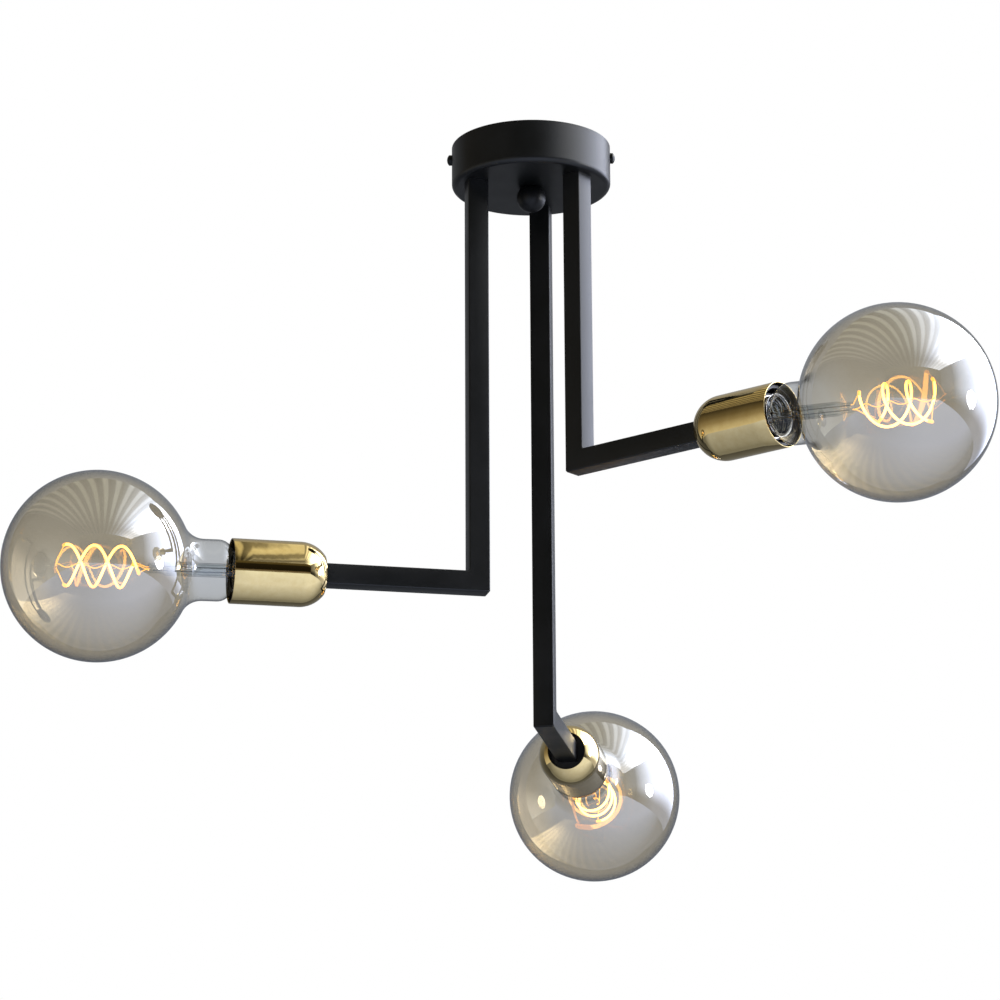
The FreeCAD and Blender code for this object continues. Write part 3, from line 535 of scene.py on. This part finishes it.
def makeCup(arm):
    back, rim = arm["cupBack"], arm["cupRim"] - cup["wall"] / 2
    domeMiddle = cup["radius"] - cup["domeRadius"]
    domeStart = back + math.sqrt(cup["domeRadius"] ** 2 - (cup["holeRadius"] - domeMiddle) ** 2)
    inner = cup["domeRadius"] - cup["wall"]
    outerAngle = math.degrees(math.acos((cup["holeRadius"] - domeMiddle) / cup["domeRadius"]))
    innerAngle = math.degrees(math.acos((cup["holeRadius"] - domeMiddle) / inner))
    centre = (domeMiddle, domeStart)
    bore = cup["radius"] - cup["wall"]
    outline = arcPoints(centre, cup["domeRadius"], -outerAngle, 0, cup["domeSteps"])
    outline += [(cup["radius"], domeStart + (rim - domeStart) * share) for share in (0.25, 0.5, 0.75)]
    outline += arcPoints((cup["radius"] - cup["wall"] / 2, rim), cup["wall"] / 2, 0, 180, cup["rimSteps"])
    outline += [(bore, rim - cup["polishedEdge"]), (bore, domeStart)]
    outline += arcPoints(centre, inner, 0, -innerAngle, cup["innerSteps"])[1:]
    low, high = outline[0][1], outline[-1][1]
    for i in range(1, cup["lipSteps"]):
        share = i / cup["lipSteps"]
        inwards = cup["lip"] * math.sin(math.pi * share)
        outline.append((cup["holeRadius"] - inwards, high + (low - high) * share))
    mesh = latheMesh(arm["name"] + "Cup", outline, arm["socket"], cup["segments"])
    paintedShade = mesh.attributes.new("paintedShade", "FLOAT", "POINT")
    toLocal = arm["socket"].inverted()
    for i, vertex in enumerate(mesh.vertices):
        spot = toLocal @ vertex.co / mm
        fromDome = math.hypot(math.hypot(spot.x, spot.y) - domeMiddle, min(spot.z - domeStart, 0.0))
        # past the wall's middle, where the rolled hole and the rim turn over
        onInnerFace = fromDome < cup["domeRadius"] - cup["wall"] * 0.6
        # painted shade goes on the inner face, away from the bright edge at the rim
        inShade = onInnerFace and spot.z < rim - cup["polishedEdge"] / 2
        paintedShade.data[i].value = 1.0 if inShade else 0.0
    newPiece(arm["name"] + "Cup", mesh, materials["polished_brass"], "fixture",
             (arm["name"] + "_cup",), sharpAngle=40.0)


for arm in arms:
    makeCup(arm)
print("cups made")


globe = {
    "neckRadius": 20.3, "blendRadius": 15.0, "neckStraight": 9.6, "shoulderRadius": 10.0,
    "tailRadius": 11.9, "tailLength": 5.0, "capToShoulder": 11.6,
    "mirrorEnd": 50.0,      # the mirror starts to clear this far from the globe's middle
    "mirrorFade": 16.0,
    "ballSteps": 90, "blendSteps": 20, "shoulderSteps": 14, "segments": 128,
}


def globeOutline(arm):
    # (radius, distance along the bulb) from the pole down to the tail inside the cap
    big, blend, neck = arm["globeRadius"], globe["blendRadius"], globe["neckRadius"]
    reach = arm["globeReach"]
    blendMiddle = math.sqrt((big + blend) ** 2 - (neck + blend) ** 2)
    meet = math.degrees(math.atan2(blendMiddle, neck + blend))
    points = [(x, reach - y) for x, y in arcPoints((0, 0), big, -90, meet, globe["ballSteps"])]
    points[0] = (0.0, reach + big)
    blendArc = arcPoints((neck + blend, blendMiddle), blend, 180 + meet, 180, globe["blendSteps"])
    points += [(x, reach - y) for x, y in blendArc[1:]]
    shoulderStart = blendMiddle + globe["neckStraight"]
    shoulder, tail = globe["shoulderRadius"], globe["tailRadius"]
    points.append((neck, reach - blendMiddle - globe["neckStraight"] / 2))
    turn = math.degrees(math.acos((tail - (neck - shoulder)) / shoulder))
    shoulderArc = arcPoints((neck - shoulder, shoulderStart), shoulder, 0, turn, globe["shoulderSteps"])
    points += [(x, reach - y) for x, y in shoulderArc]
    points.append((tail, reach - shoulderStart - globe["capToShoulder"] - globe["tailLength"]))
    return points


def makeGlobe(arm):
    name = arm["name"] + "Globe"
    outline = globeOutline(arm)
    mesh = latheMesh(name, outline, arm["glass"], globe["segments"], closed=False)
    fade = mesh.attributes.new("coating", "FLOAT", "POINT")
    toLocal = arm["glass"].inverted()
    for i, vertex in enumerate(mesh.vertices):
        fromMiddle = arm["globeReach"] - (toLocal @ vertex.co).z / mm
        share = (fromMiddle - globe["mirrorEnd"]) / globe["mirrorFade"]
        fade.data[i].value = 1.0 - min(max(share, 0.0), 1.0)
    newPiece(name, mesh, materials["smoke_mirrored_glass"], arm["name"] + "_bulb",
             (arm["name"] + "_bulb_glass",), sharpAngle=60.0)


for arm in arms:
    makeGlobe(arm)
print("globes made")


# two lit strands wound side by side round the bulb's middle, none of them quite where the next bulb's are
filament = {
    "radius": 13.5, "pitch": 35.0, "length": 47.0, "strand": 1.8, "phase": 60.0, "steps": 84,
    "shift": {"left": (0.0, 0.0, -2.0), "right": (0.8, 0.8, 1.6), "back": (0.0, 0.0, 0.0)},
    "sleeve": 2.2, "sleeveLength": 2.6, "sleeveOverhang": 0.4,
    "sides": 16, "sleeveSides": 12,
}
lead = {
    "diameter": 0.6, "waveRadius": 1.4, "wavePitch": 18.0, "waveSteps": 60,
    "mountEnd": 33.0,      # the mount's tip, from the globe's middle
    "beyond": 3.0,         # the wires meet this far past the strands
    "footRadius": 2.4, "footDepth": 0.6, "footLength": 1.6, "waveDepth": 0.5,   # feet in the mount
    "innerSpread": 1.5, "innerStart": 6.0, "innerEnd": 3.0,   # the two wires sealed into the mount
    "sides": 8,
}


def strandPoints(arm, strand):
    shift = filament["shift"][arm["name"]]
    turns = filament["length"] / filament["pitch"]
    points = []
    for i in range(filament["steps"] + 1):
        share = i / filament["steps"]
        angle = math.radians(filament["phase"] + 180 * strand) + 2 * math.pi * turns * share
        along = arm["globeReach"] + filament["length"] * (share - 0.5)
        points.append(Vector((filament["radius"] * math.cos(angle) + shift[0],
                              filament["radius"] * math.sin(angle) + shift[1], along + shift[2])))
    return points


def placed(arm, points):
    return [arm["glass"] @ (Vector(point) * mm) for point in points]


def makeFilament(arm):
    name = arm["name"]
    mountTip = arm["globeReach"] - lead["mountEnd"]
    strands, wires, sealed = [], [], []
    thin, sides = lead["diameter"] / 2 * mm, lead["sides"]
    hubHeight = arm["globeReach"] + filament["length"] / 2 + lead["beyond"]
    for strand in (0, 1):
        points = strandPoints(arm, strand)
        strands.append((placed(arm, points), filament["strand"] / 2 * mm, filament["sides"]))
        for end, inner in ((points[0], points[1]), (points[-1], points[-2])):
            inwards = (inner - end).normalized()
            length = inwards * filament["sleeveLength"]
            sleeve = [end - inwards * filament["sleeveOverhang"], end + length / 2, end + length]
            wires.append((placed(arm, sleeve), filament["sleeve"] / 2 * mm, filament["sleeveSides"]))
        nearSpoke = Vector((points[0].x, points[0].y, 0)).normalized() * lead["footRadius"]
        farSpoke = Vector((points[-1].x, points[-1].y, 0)).normalized() * lead["footRadius"]
        foot = Vector((nearSpoke.x, nearSpoke.y, mountTip - lead["footDepth"]))
        hub = Vector((farSpoke.x, farSpoke.y, hubHeight))
        rise = Vector((0, 0, lead["footLength"]))
        wires.append((placed(arm, (foot, foot + rise, points[0])), thin, sides))
        wires.append((placed(arm, (points[-1], hub)), thin, sides))
        side = lead["innerSpread"] * (1 - 2 * strand)
        innerEnds = ((side, 0, arm["capTop"] - lead["innerStart"]), (side, 0, mountTip - lead["innerEnd"]))
        sealed.append((placed(arm, innerEnds), thin, sides))
    wave = []
    start = mountTip - lead["waveDepth"]
    for i in range(lead["waveSteps"] + 1):
        height = start + (hubHeight - start) * i / lead["waveSteps"]
        angle = 2 * math.pi * (height - start) / lead["wavePitch"]
        wave.append((lead["waveRadius"] * math.cos(angle), lead["waveRadius"] * math.sin(angle), height))
    wires.append((placed(arm, wave), thin, sides))
    for ending, parts, slot, replaced in (
            ("Strands", strands, "glowing_filament", (name + "_bulb_filament",)),
            ("Leads", wires, "lead_wire", (name + "_bulb_leads",)),
            ("SealedWires", sealed, "solder_tin", ())):
        newPiece(name + ending, wireMesh(name + ending, parts), materials[slot], name + "_bulb",
                 replaced, sharpAngle=60.0)


for arm in arms:
    makeFilament(arm)
print("filaments and leads made")


cap = {
    "radius": 13.1, "wall": 0.4, "flare": 1.1, "flareLength": 1.2, "taper": 1.6,
    "threadPitch": 3.629, "threadDepth": 0.9, "threadFade": 2.4, "rowHeight": 0.3, "segments": 96,
}


def makeCap(arm):
    # rolled screw cap: a rounded thread pressed into thin sheet, so it shows on both faces
    low, high = arm["capBottom"], arm["capTop"]
    threadLow, threadHigh = low + cap["taper"], high - cap["flareLength"]
    rows = round((threadHigh - threadLow) / cap["rowHeight"])

    def thread(angle, height):
        fade = min(height - threadLow, threadHigh - height) / cap["threadFade"]
        phase = 2 * math.pi * (height / cap["threadPitch"]) - angle
        return -cap["threadDepth"] * min(max(fade, 0.0), 1.0) * (0.5 + 0.5 * math.cos(phase))

    heights = [threadLow + (threadHigh - threadLow) * i / rows for i in range(rows + 1)]
    inner = cap["radius"] - cap["wall"]
    bottom = cap["radius"] - cap["taper"]
    outline = [(bottom, low)] + [(cap["radius"], height) for height in heights]
    outline += [(cap["radius"] + cap["flare"], high), (inner + cap["flare"], high)]
    outline += [(inner, height) for height in reversed(heights)] + [(bottom - cap["wall"], low)]
    mesh = latheMesh(arm["name"] + "Cap", outline, arm["socket"], cap["segments"], bump=thread)
    newPiece(arm["name"] + "Cap", mesh, materials["nickel_plated_brass"], arm["name"] + "_bulb",
             (arm["name"] + "_bulb_cap",), sharpAngle=50.0)


for arm in arms:
    makeCap(arm)
print("caps made")


# one sheathed cable down each stem and along its arm, with two bared cores in the lampholder
cable = {
    "diameter": 4.6, "coreDiameter": 1.8, "coreSpacing": 2.4, "bared": 10.0, "level": -13.0,
    "elbowReach": 26.0, "canopyReach": 18.0,     # the last point on the straight before each corner
    "blockOffset": 5.3, "poleStep": 6.0, "backPole": 4.5, "blockFace": 8.0,    # the terminal block's places
    "leftBend": (-12.0, 19.0), "backBend": 25.0,
    "roundness": 4, "smoothness": 10,
}


def cableRoute(arm):
    corner, along = arm["origin"] / mm, arm["axis"]
    blockMiddle = next(a["origin"].x for a in arms if a["name"] == "right") / mm + cable["blockOffset"]
    leftPole, backPole = blockMiddle - cable["poleStep"], blockMiddle + cable["backPole"]
    face = cable["blockFace"]
    inCanopy = {
        "left": (cable["leftBend"], (leftPole, cable["leftBend"][1]), (leftPole, face)),
        "right": ((corner.x, -face),),
        "back": ((backPole, cable["backBend"]), (backPole, face)),
    }[arm["name"]]
    end = corner + along * (arm["coresEnd"] - cable["bared"])
    up = Vector((0, 0, 1))
    top = Vector((corner.x, corner.y, cable["level"]))
    route = [end, corner + along * cable["elbowReach"], corner, corner + up * cable["elbowReach"],
             top - up * cable["canopyReach"], top]
    return route + [Vector((x, y, cable["level"])) for x, y in inCanopy]


def makeCable(arm):
    name = arm["name"] + "Cable"
    curve = bpy.data.curves.new(name, "CURVE")
    curve.dimensions = "3D"
    curve.bevel_depth = cable["diameter"] / 2 * mm
    curve.bevel_resolution = cable["roundness"]
    curve.use_fill_caps = True
    route = cableRoute(arm)
    side = arm["socket"].col[1].to_3d() * cable["coreSpacing"] / 2
    bare = arm["axis"] * cable["bared"]
    thick = cable["coreDiameter"] / cable["diameter"]
    lines = [(route, 1.0)]
    for way in (-1, 1):
        lines.append(([route[0] + side * way, route[0] + side * way + bare], thick))
    for points, share in lines:
        spline = curve.splines.new("NURBS" if len(points) > 2 else "POLY")
        spline.points.add(len(points) - 1)
        for point, spot in zip(spline.points, points):
            point.co = (*(spot * mm), 1.0)
            point.radius = share
        if len(points) > 2:
            spline.order_u = 3
            spline.use_endpoint_u = True
            spline.resolution_u = cable["smoothness"]
    piece = addObject(name, curve)
    curve.materials.append(materials["black_cable_sheath"])
    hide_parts(arm["name"] + "_cable")
    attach(piece, "fixture")


for arm in arms:
    makeCable(arm)
print("cables made")


studio = {
    "floorDrop": -1.25, "floorRadius": 4.0, "floorCorners": 64,
    "floorFade": (1.2, 3.8),      # the floor thins out to nothing between these distances
    "skyStrength": 0.55,
}
softLights = {
    "rightSoftbox": {"place": (2.6, 0.9, 0.35), "size": (1.8, 1.6), "power": 60.0, "colour": "#F4F6FF"},
    "topSoftbox": {"place": (0.2, 0.3, 1.5), "size": (1.2, 1.2), "power": 45.0, "colour": "#FFFFFF"},
    "frontFill": {"place": (-1.6, -2.4, 0.8), "size": (1.8, 1.8), "power": 26.0, "colour": "#FFFFFF"},
}
lampMiddle = Vector((0, 0, -0.25))


def makeWorld():
    world = bpy.data.worlds.new("studioSky")
    bpy.context.scene.world = world
    world.use_nodes = True
    tree = world.node_tree
    tree.nodes.clear()
    path = addNode(tree, "ShaderNodeLightPath")
    # white behind the lamp, and in what mirrors or lets it through; a softer even light on everything else
    seen = addNode(tree, "ShaderNodeMath", {0: path.outputs["Is Camera Ray"],
                                            1: path.outputs["Is Glossy Ray"]}, operation="MAXIMUM")
    shown = addNode(tree, "ShaderNodeMath", {0: seen.outputs["Value"],
                                             1: path.outputs["Is Transmission Ray"]}, operation="MAXIMUM")
    light = addNode(tree, "ShaderNodeBackground", {"Color": hexColour("#F6F8FF"),
                                                   "Strength": studio["skyStrength"]})
    white = addNode(tree, "ShaderNodeBackground", {"Color": hexColour("#FFFFFF"), "Strength": 1.0})
    both = addNode(tree, "ShaderNodeMixShader", {0: shown.outputs["Value"], 1: light.outputs["Background"],
                                                 2: white.outputs["Background"]})
    addNode(tree, "ShaderNodeOutputWorld", {"Surface": both.outputs["Shader"]})


def makeLights():
    for name, settings in softLights.items():
        data = bpy.data.lights.new(name, "AREA")
        data.shape = "RECTANGLE"
        data.size, data.size_y = settings["size"]
        data.energy = settings["power"]
        data.color = hexColour(settings["colour"])[:3]
        light = addObject(name, data)
        light.location = settings["place"]
        light.rotation_mode = "QUATERNION"
        light.rotation_quaternion = (light.location - lampMiddle).to_track_quat("Z", "Y")
        light.visible_glossy = False


# cards round the studio that only mirror-like surfaces see: without them the half mirrored globes
# and the polished cups have nothing to reflect
cards = {
    "turn": 12.0,              # the slats of the roof card run across this direction
    "right": 3.4, "left": -2.7, "front": -5.2, "behind": 4.0, "top": 2.2, "bottom": -1.1,
    "backdropHalf": 1.35, "backdropNear": 1.0,
}
roof = {
    "slatPitch": 0.33,
    # from the left wall to the window on the right
    "tones": [(0.00, "#2B2821"), (0.40, "#3D3A2E"), (0.50, "#4C4B44"), (0.62, "#7A7B7C"),
              (0.72, "#A8ADB7"), (0.86, "#FFFFFF")],
    # one pale slat between two dark gaps
    "slats": [(0.0, 0.22), (0.42, 0.3), (0.58, 1.0), (0.84, 0.9), (1.0, 0.22)],
    "contrast": (0.0, 1.6, 1.0, 0.3),      # daylight washes out the gaps on the window side
    "daylight": (-3.9, -0.8, 3.0, 14.0),   # it comes in beside the lamp, not near the camera
}
softbox = {"radius": 0.4, "corners": 8, "place": (2.9, -0.98, 0.02), "tilt": 72.0, "strength": 20.0}


def cardMesh(name, corners):
    shape = bmesh.new()
    shape.faces.new([shape.verts.new(corner) for corner in corners])
    return meshFrom(name, shape)


def wallCorners(start, end):
    # upright, from one place on the floor to another
    low, high = cards["bottom"], cards["top"]
    return ((*start, low), (*end, low), (*end, high), (*start, high))


def levelCorners(height):
    right, left, front, behind = (cards[key] for key in ("right", "left", "front", "behind"))
    return ((left, front, height), (right, front, height), (right, behind, height), (left, behind, height))


def ownAxes(tree):
    # the card's own X, Y and Z, in metres
    place = addNode(tree, "ShaderNodeTexCoord")
    return addNode(tree, "ShaderNodeSeparateXYZ", {"Vector": place.outputs["Object"]}).outputs


def placeCard(name, mesh, material):
    card = addObject(name, mesh)
    card.location = lampMiddle
    card.rotation_euler.z = math.radians(cards["turn"])
    mesh.materials.append(material)
    card.visible_camera = False
    card.visible_diffuse = False
    card.visible_transmission = False
    card.visible_volume_scatter = False
    card.visible_shadow = False


def glowCard(name, corners, axis, stops, strength, dimming=None):
    # a matt card, lit unevenly: the stops run along one of its own axes, in metres;
    # dimming holds another axis, the reach at which the card is dimmest and brightest, and the dimmest share
    material, tree = newMaterial(name)
    axes = ownAxes(tree)
    low, high = stops[0][0], stops[-1][0]
    run = addRange(tree, axes[axis], start=low, end=high)
    tone = addRamp(tree, run, [((reach - low) / (high - low), hexColour(colour)) for reach, colour in stops])
    if dimming:
        across, dimmest, brightest, share = dimming
        strength = addRange(tree, axes[across], start=dimmest, end=brightest, low=strength * share,
                            high=strength, interpolation_type="SMOOTHSTEP")
    shader = addNode(tree, "ShaderNodeEmission", {"Color": tone, "Strength": strength})
    finishMaterial(tree, shader.outputs["Emission"])
    placeCard(name, cardMesh(name, corners), material)


def makeWallCards():
    right, left, front, behind = (cards[key] for key in ("right", "left", "front", "behind"))
    top, bottom = cards["top"], cards["bottom"]
    half, near = cards["backdropHalf"], cards["backdropNear"]
    glowCard("rightWallCard", wallCorners((right, front), (right, behind)), "Y",
             [(front, "#2C2B2A"), (-3.0, "#474A4F"), (-1.4, "#B4B9C4"), (-0.4, "#E0E6FA"),
              (behind, "#E0E6FA")], 6.0, ("Z", -0.7, 0.5, 0.14))
    glowCard("leftWallCard", wallCorners((left, front), (left, behind)), "Z",
             [(bottom, "#D8D5CA"), (-0.5, "#C4C0B2"), (0.2, "#978F7C"), (1.0, "#6E6654"),
              (top, "#38342A")], 1.05)
    glowCard("frontWallCard", wallCorners((left, front), (right, front)), "Z",
             [(bottom, "#AFAEAA"), (-0.55, "#6B5F50"), (-0.4, "#221E18"), (1.3, "#2B271E"),
              (1.5, "#5A5238"), (top, "#6A6248")], 0.8)
    glowCard("backdropCard", wallCorners((-half, near), (half, near)), "Z",
             [(bottom, "#4C4F56"), (-0.35, "#62666D"), (0.3, "#8B8E93"), (top, "#A5A39C")], 1.25,
             ("X", -0.9, 0.4, 0.55))
    glowCard("behindCard", wallCorners((left, behind), (right, behind)), "Z",
             [(bottom, "#4E5054"), (0.7, "#8A8C8E"), (top, "#8C8A82")], 1.0)
    glowCard("floorCard", levelCorners(bottom), "Y",
             [(front, "#DDE9FF"), (-0.7, "#D8E2FA"), (0.7, "#7A7F88"), (behind, "#484B50")], 1.5,
             ("X", -0.9, 0.7, 0.7))


def makeRoofCard():
    # pale slats with dark gaps, brighter towards the window side
    material, tree = newMaterial("slattedRoofCard")
    axes = ownAxes(tree)
    run = addRange(tree, axes["X"], start=cards["left"], end=cards["right"])
    tone = addRamp(tree, run, [(share, hexColour(colour)) for share, colour in roof["tones"]])
    row = addNode(tree, "ShaderNodeMath", {0: axes["X"], 1: roof["slatPitch"]}, operation="DIVIDE")
    phase = addNode(tree, "ShaderNodeMath", {0: row.outputs["Value"]}, operation="FRACT")
    slat = addRamp(tree, phase.outputs["Value"], [(share, grey(value)) for share, value in roof["slats"]])
    start, end, full, faint = roof["contrast"]
    contrast = addRange(tree, axes["X"], start=start, end=end, low=full, high=faint)
    colour = mixColours(tree, contrast, tone, slat, blend_type="MULTIPLY")
    start, end, dim, bright = roof["daylight"]
    level = addRange(tree, axes["Y"], start=start, end=end, low=dim, high=bright,
                     interpolation_type="SMOOTHSTEP")
    shader = addNode(tree, "ShaderNodeEmission", {"Color": colour, "Strength": level})
    finishMaterial(tree, shader.outputs["Emission"])
    placeCard("slattedRoofCard", cardMesh("slattedRoofCard", levelCorners(cards["top"])), material)


def makeSoftboxCard():
    # a round softbox on a stand, low on the window side
    shape = bmesh.new()
    tilt = Matrix.Rotation(math.radians(softbox["tilt"]), 4, "Y")
    bmesh.ops.create_circle(shape, cap_ends=True, segments=softbox["corners"], radius=softbox["radius"],
                            matrix=Matrix.Translation(softbox["place"]) @ tilt)
    cloth, tree = newMaterial("softboxCloth")
    shader = addNode(tree, "ShaderNodeEmission", {"Color": hexColour("#FFFFFF"),
                                                  "Strength": softbox["strength"]})
    finishMaterial(tree, shader.outputs["Emission"])
    placeCard("roundSoftbox", meshFrom("roundSoftbox", shape), cloth)


def makeFloor():
    shape = bmesh.new()
    bmesh.ops.create_circle(shape, cap_ends=True, segments=studio["floorCorners"],
                            radius=studio["floorRadius"])
    floor = addObject("paleFloor", meshFrom("paleFloor", shape))
    floor.location.z = studio["floorDrop"]
    material, tree = newMaterial("palePaintedBoard")
    place = addNode(tree, "ShaderNodeTexCoord")
    length = addNode(tree, "ShaderNodeVectorMath", {0: place.outputs["Object"]}, operation="LENGTH")
    whole, gone = studio["floorFade"]
    fade = addRange(tree, length.outputs["Value"], start=whole, end=gone, interpolation_type="SMOOTHSTEP")
    paint = addNode(tree, "ShaderNodeBsdfDiffuse", {"Color": hexColour("#EDEDEB")})
    clear = addNode(tree, "ShaderNodeBsdfTransparent")
    side = addNode(tree, "ShaderNodeNewGeometry")   # nothing is seen of it from underneath
    hidden = addNode(tree, "ShaderNodeMath", {0: fade, 1: side.outputs["Backfacing"]}, operation="MAXIMUM")
    both = addNode(tree, "ShaderNodeMixShader", {0: hidden.outputs["Value"], 1: paint.outputs["BSDF"],
                                                 2: clear.outputs["BSDF"]})
    finishMaterial(tree, both.outputs["Shader"])
    floor.data.materials.append(material)
    floor.visible_glossy = False   # the floor card stands for it in reflections


makeWorld()
makeLights()
makeWallCards()
makeRoofCard()
makeSoftboxCard()
makeFloor()
bpy.context.scene.view_settings.view_transform = "Standard"
print("studio set")
